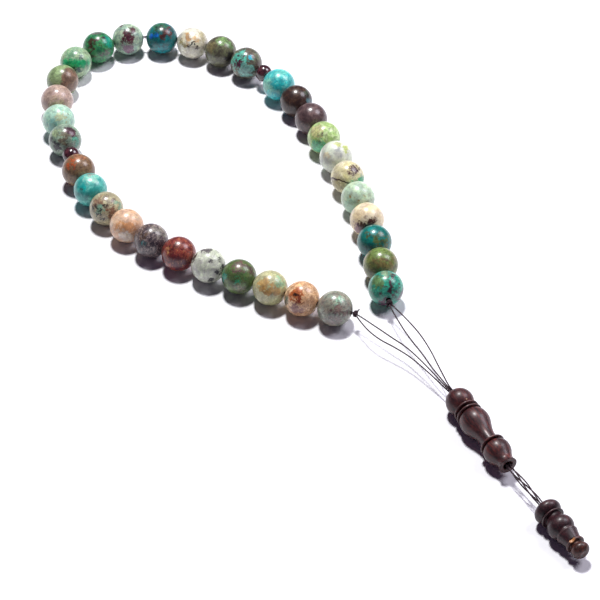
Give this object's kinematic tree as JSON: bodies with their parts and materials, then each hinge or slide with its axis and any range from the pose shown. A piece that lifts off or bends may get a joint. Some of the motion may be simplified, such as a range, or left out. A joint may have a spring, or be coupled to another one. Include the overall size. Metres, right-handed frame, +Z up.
{
  "type": "misbaha prayer beads",
  "caption": "Prayer beads: round polished mixed-stone beads with small dark separators on a doubled twisted cord, knotted into a turned wooden imame and a turned wooden end drop.",
  "frame": {"origin": "under the middle of the whole, on the surface it lies on", "axes": "+Z up from the surface, +Y from the end drop towards the far end of the bead loop, along the imame's axis, +X to the right of that"},
  "size_m": [0.083, 0.2574, 0.0098],
  "materials": {
    "stone_01": "polished stone",
    "stone_02": "polished stone",
    "stone_03": "polished stone",
    "stone_04": "polished stone",
    "stone_05": "polished stone",
    "stone_06": "polished stone",
    "stone_07": "polished stone",
    "stone_08": "polished stone",
    "stone_09": "polished stone",
    "stone_10": "polished stone",
    "stone_11": "polished stone",
    "separator": "polished dark stone",
    "stone_12": "polished stone",
    "stone_13": "polished stone",
    "stone_14": "polished stone",
    "stone_15": "polished stone",
    "stone_16": "polished stone",
    "stone_17": "polished stone",
    "stone_18": "polished stone",
    "stone_19": "polished stone",
    "stone_20": "polished stone",
    "stone_21": "polished stone",
    "stone_22": "polished stone",
    "stone_23": "polished stone",
    "stone_24": "polished stone",
    "stone_25": "polished stone",
    "stone_26": "polished stone",
    "stone_27": "polished stone",
    "stone_28": "polished stone",
    "stone_29": "polished stone",
    "stone_30": "polished stone",
    "stone_31": "polished stone",
    "stone_32": "polished stone",
    "stone_33": "polished stone",
    "cord": "thin twisted cord",
    "imame_wood": "oiled dark hardwood, satin",
    "drop_wood": "oiled dark hardwood, satin",
    "plug_wood": "oiled reddish hardwood, satin"
  },
  "bodies": {
    "cord": {"loop_cord_upper": "cord", "loop_cord_lower": "cord", "knot_left": "cord", "knot_right": "cord", "drop_knot": "cord", "upper_strand_left_outer": "cord", "upper_strand_left_inner": "cord", "upper_strand_right_outer": "cord", "upper_strand_right_inner": "cord", "lower_strand_left_outer": "cord", "lower_strand_left_inner": "cord", "lower_strand_right_outer": "cord", "lower_strand_right_inner": "cord"},
    "imame": {"imame": "imame_wood"},
    "drop": {"drop_body": "drop_wood"},
    "drop_plug": {"drop_plug": "plug_wood"},
    "bead_01": {"bead_01": "stone_01"},
    "bead_02": {"bead_02": "stone_02"},
    "bead_03": {"bead_03": "stone_03"},
    "bead_04": {"bead_04": "stone_04"},
    "bead_05": {"bead_05": "stone_05"},
    "bead_06": {"bead_06": "stone_06"},
    "bead_07": {"bead_07": "stone_07"},
    "bead_08": {"bead_08": "stone_08"},
    "bead_09": {"bead_09": "stone_09"},
    "bead_10": {"bead_10": "stone_10"},
    "bead_11": {"bead_11": "stone_11"},
    "bead_12": {"bead_12": "stone_12"},
    "bead_13": {"bead_13": "stone_13"},
    "bead_14": {"bead_14": "stone_14"},
    "bead_15": {"bead_15": "stone_15"},
    "bead_16": {"bead_16": "stone_16"},
    "bead_17": {"bead_17": "stone_17"},
    "bead_18": {"bead_18": "stone_18"},
    "bead_19": {"bead_19": "stone_19"},
    "bead_20": {"bead_20": "stone_20"},
    "bead_21": {"bead_21": "stone_21"},
    "bead_22": {"bead_22": "stone_22"},
    "bead_23": {"bead_23": "stone_23"},
    "bead_24": {"bead_24": "stone_24"},
    "bead_25": {"bead_25": "stone_25"},
    "bead_26": {"bead_26": "stone_26"},
    "bead_27": {"bead_27": "stone_27"},
    "bead_28": {"bead_28": "stone_28"},
    "bead_29": {"bead_29": "stone_29"},
    "bead_30": {"bead_30": "stone_30"},
    "bead_31": {"bead_31": "stone_31"},
    "bead_32": {"bead_32": "stone_32"},
    "bead_33": {"bead_33": "stone_33"},
    "separator_1": {"separator_1": "separator"},
    "separator_2": {"separator_2": "separator"}
  },
  "joints": [
    {"name": "imame_slide", "type": "slide", "parent": "cord", "child": "imame", "axis": [0, 1, 0], "range_m": [-0.015, 0.02], "deforming": ["upper_strand_left_outer", "upper_strand_left_inner", "upper_strand_right_outer", "upper_strand_right_inner", "lower_strand_left_outer", "lower_strand_left_inner", "lower_strand_right_outer", "lower_strand_right_inner"]},
    {"name": "drop_swivel", "type": "hinge", "parent": "cord", "child": "drop", "pos_m": [0.02043, -0.1181, 0.00365], "axis": [0.0488, -0.9988, 0], "continuous": true},
    {"name": "drop_plug_pull", "type": "slide", "parent": "drop", "child": "drop_plug", "axis": [0.0488, -0.9988, 0], "range_m": [0, 0.004]},
    {"name": "spin_bead_01", "type": "hinge", "parent": "cord", "child": "bead_01", "pos_m": [0.02155, -0.01967, 0.00495], "axis": [0.3196, 0.9476, 0], "continuous": true},
    {"name": "spin_bead_02", "type": "hinge", "parent": "cord", "child": "bead_02", "pos_m": [0.02476, -0.01009, 0.00495], "axis": [0.3148, 0.9491, 0], "continuous": true},
    {"name": "spin_bead_03", "type": "hinge", "parent": "cord", "child": "bead_03", "pos_m": [0.02774, -0.00044, 0.00495], "axis": [0.2751, 0.9614, 0], "continuous": true},
    {"name": "spin_bead_04", "type": "hinge", "parent": "cord", "child": "bead_04", "pos_m": [0.03028, 0.00933, 0.00495], "axis": [0.2295, 0.9733, 0], "continuous": true},
    {"name": "spin_bead_05", "type": "hinge", "parent": "cord", "child": "bead_05", "pos_m": [0.03232, 0.01922, 0.00495], "axis": [0.1726, 0.985, 0], "continuous": true},
    {"name": "spin_bead_06", "type": "hinge", "parent": "cord", "child": "bead_06", "pos_m": [0.03384, 0.0292, 0.00495], "axis": [0.1297, 0.9916, 0], "continuous": true},
    {"name": "spin_bead_07", "type": "hinge", "parent": "cord", "child": "bead_07", "pos_m": [0.03501, 0.03923, 0.00495], "axis": [0.1015, 0.9948, 0], "continuous": true},
    {"name": "spin_bead_08", "type": "hinge", "parent": "cord", "child": "bead_08", "pos_m": [0.0359, 0.04929, 0.00495], "axis": [0.0747, 0.9972, 0], "continuous": true},
    {"name": "spin_bead_09", "type": "hinge", "parent": "cord", "child": "bead_09", "pos_m": [0.03645, 0.05937, 0.00495], "axis": [0.0351, 0.9994, 0], "continuous": true},
    {"name": "spin_bead_10", "type": "hinge", "parent": "cord", "child": "bead_10", "pos_m": [0.03629, 0.06946, 0.00495], "axis": [-0.067, 0.9977, 0], "continuous": true},
    {"name": "spin_bead_11", "type": "hinge", "parent": "cord", "child": "bead_11", "pos_m": [0.03507, 0.07947, 0.00495], "axis": [-0.1754, 0.9845, 0], "continuous": true},
    {"name": "spin_bead_12", "type": "hinge", "parent": "cord", "child": "bead_12", "pos_m": [0.03073, 0.09429, 0.00495], "axis": [-0.3814, 0.9244, 0], "continuous": true},
    {"name": "spin_bead_13", "type": "hinge", "parent": "cord", "child": "bead_13", "pos_m": [0.02608, 0.1035, 0.00495], "axis": [-0.5211, 0.8535, 0], "continuous": true},
    {"name": "spin_bead_14", "type": "hinge", "parent": "cord", "child": "bead_14", "pos_m": [0.01996, 0.1118, 0.00495], "axis": [-0.6636, 0.7481, 0], "continuous": true},
    {"name": "spin_bead_15", "type": "hinge", "parent": "cord", "child": "bead_15", "pos_m": [0.01224, 0.11857, 0.00495], "axis": [-0.8322, 0.5545, 0], "continuous": true},
    {"name": "spin_bead_16", "type": "hinge", "parent": "cord", "child": "bead_16", "pos_m": [0.00238, 0.12304, 0.00495], "axis": [-0.9723, 0.2337, 0], "continuous": true},
    {"name": "spin_bead_17", "type": "hinge", "parent": "cord", "child": "bead_17", "pos_m": [-0.0077, 0.1232, 0.00495], "axis": [-0.9767, -0.2147, 0], "continuous": true},
    {"name": "spin_bead_18", "type": "hinge", "parent": "cord", "child": "bead_18", "pos_m": [-0.017, 0.11914, 0.00495], "axis": [-0.8159, -0.5782, 0], "continuous": true},
    {"name": "spin_bead_19", "type": "hinge", "parent": "cord", "child": "bead_19", "pos_m": [-0.0243, 0.11199, 0.00495], "axis": [-0.5887, -0.8084, 0], "continuous": true},
    {"name": "spin_bead_20", "type": "hinge", "parent": "cord", "child": "bead_20", "pos_m": [-0.02955, 0.10313, 0.00495], "axis": [-0.4217, -0.9067, 0], "continuous": true},
    {"name": "spin_bead_21", "type": "hinge", "parent": "cord", "child": "bead_21", "pos_m": [-0.03273, 0.09361, 0.00495], "axis": [-0.2082, -0.9781, 0], "continuous": true},
    {"name": "spin_bead_22", "type": "hinge", "parent": "cord", "child": "bead_22", "pos_m": [-0.03451, 0.08368, 0.00495], "axis": [-0.1438, -0.9896, 0], "continuous": true},
    {"name": "spin_bead_23", "type": "hinge", "parent": "cord", "child": "bead_23", "pos_m": [-0.03626, 0.06828, 0.00495], "axis": [-0.0732, -0.9973, 0], "continuous": true},
    {"name": "spin_bead_24", "type": "hinge", "parent": "cord", "child": "bead_24", "pos_m": [-0.03645, 0.0582, 0.00495], "axis": [0.0351, -0.9994, 0], "continuous": true},
    {"name": "spin_bead_25", "type": "hinge", "parent": "cord", "child": "bead_25", "pos_m": [-0.03546, 0.04817, 0.00495], "axis": [0.161, -0.9869, 0], "continuous": true},
    {"name": "spin_bead_26", "type": "hinge", "parent": "cord", "child": "bead_26", "pos_m": [-0.03313, 0.03837, 0.00495], "axis": [0.3015, -0.9535, 0], "continuous": true},
    {"name": "spin_bead_27", "type": "hinge", "parent": "cord", "child": "bead_27", "pos_m": [-0.02936, 0.02903, 0.00495], "axis": [0.4435, -0.8963, 0], "continuous": true},
    {"name": "spin_bead_28", "type": "hinge", "parent": "cord", "child": "bead_28", "pos_m": [-0.02453, 0.02017, 0.00495], "axis": [0.5134, -0.8582, 0], "continuous": true},
    {"name": "spin_bead_29", "type": "hinge", "parent": "cord", "child": "bead_29", "pos_m": [-0.01903, 0.01171, 0.00495], "axis": [0.5762, -0.8173, 0], "continuous": true},
    {"name": "spin_bead_30", "type": "hinge", "parent": "cord", "child": "bead_30", "pos_m": [-0.0132, 0.00346, 0.00495], "axis": [0.5777, -0.8163, 0], "continuous": true},
    {"name": "spin_bead_31", "type": "hinge", "parent": "cord", "child": "bead_31", "pos_m": [-0.00738, -0.00479, 0.00495], "axis": [0.5753, -0.8179, 0], "continuous": true},
    {"name": "spin_bead_32", "type": "hinge", "parent": "cord", "child": "bead_32", "pos_m": [-0.00136, -0.0129, 0.00495], "axis": [0.6163, -0.7875, 0], "continuous": true},
    {"name": "spin_bead_33", "type": "hinge", "parent": "cord", "child": "bead_33", "pos_m": [0.00509, -0.02067, 0.00495], "axis": [0.6615, -0.75, 0], "continuous": true},
    {"name": "spin_separator_1", "type": "hinge", "parent": "cord", "child": "separator_1", "pos_m": [0.03342, 0.08703, 0.00495], "axis": [-0.2828, 0.9592, 0], "continuous": true},
    {"name": "spin_separator_2", "type": "hinge", "parent": "cord", "child": "separator_2", "pos_m": [-0.03556, 0.076, 0.00495], "axis": [-0.1219, -0.9925, 0], "continuous": true}
  ]
}
